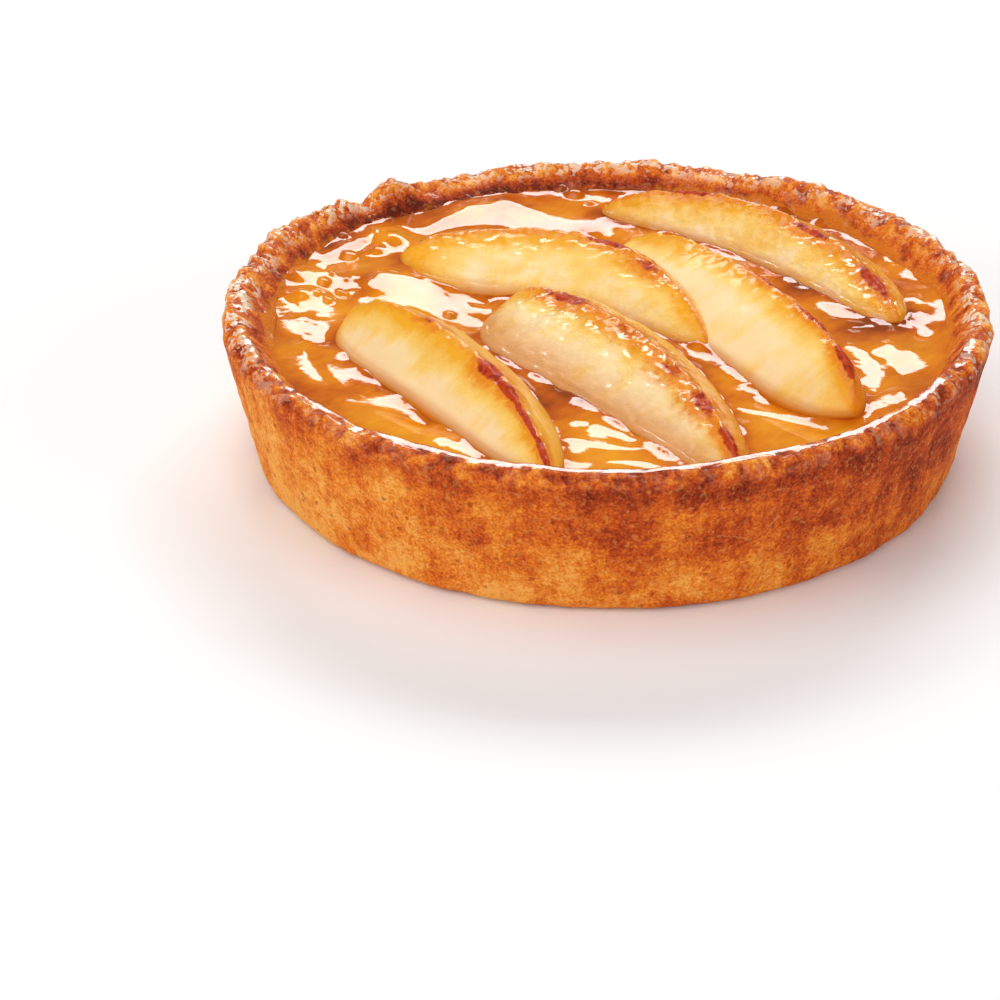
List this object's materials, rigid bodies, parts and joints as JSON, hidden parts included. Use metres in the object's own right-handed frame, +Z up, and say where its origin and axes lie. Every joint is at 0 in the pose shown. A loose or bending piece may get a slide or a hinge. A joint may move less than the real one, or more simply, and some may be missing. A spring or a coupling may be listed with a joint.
{
  "type": "french apple tart",
  "caption": "Round short-crust apple tart with a glazed amber filling and baked apple wedges lying across it.",
  "frame": {"origin": "centre of the flat base, on the surface the tart rests on", "axes": "+Z up through the middle of the tart, -Y towards the side seen in the picture"},
  "size_m": [0.1049, 0.1046, 0.0245],
  "materials": {
    "baked_crust": "rough baked short pastry, browned under the rim, sugary on the crest",
    "amber_filling": "wet, glassy amber glaze over set custard",
    "baked_apple": "glazed soft fruit with caramelised ridges"
  },
  "bodies": {
    "root": {"pastry_case": "baked_crust", "filling": "amber_filling", "apple_wedge_1": "baked_apple", "apple_wedge_2": "baked_apple", "apple_wedge_3": "baked_apple", "apple_wedge_4": "baked_apple", "apple_wedge_5": "baked_apple"}
  },
  "joints": []
}
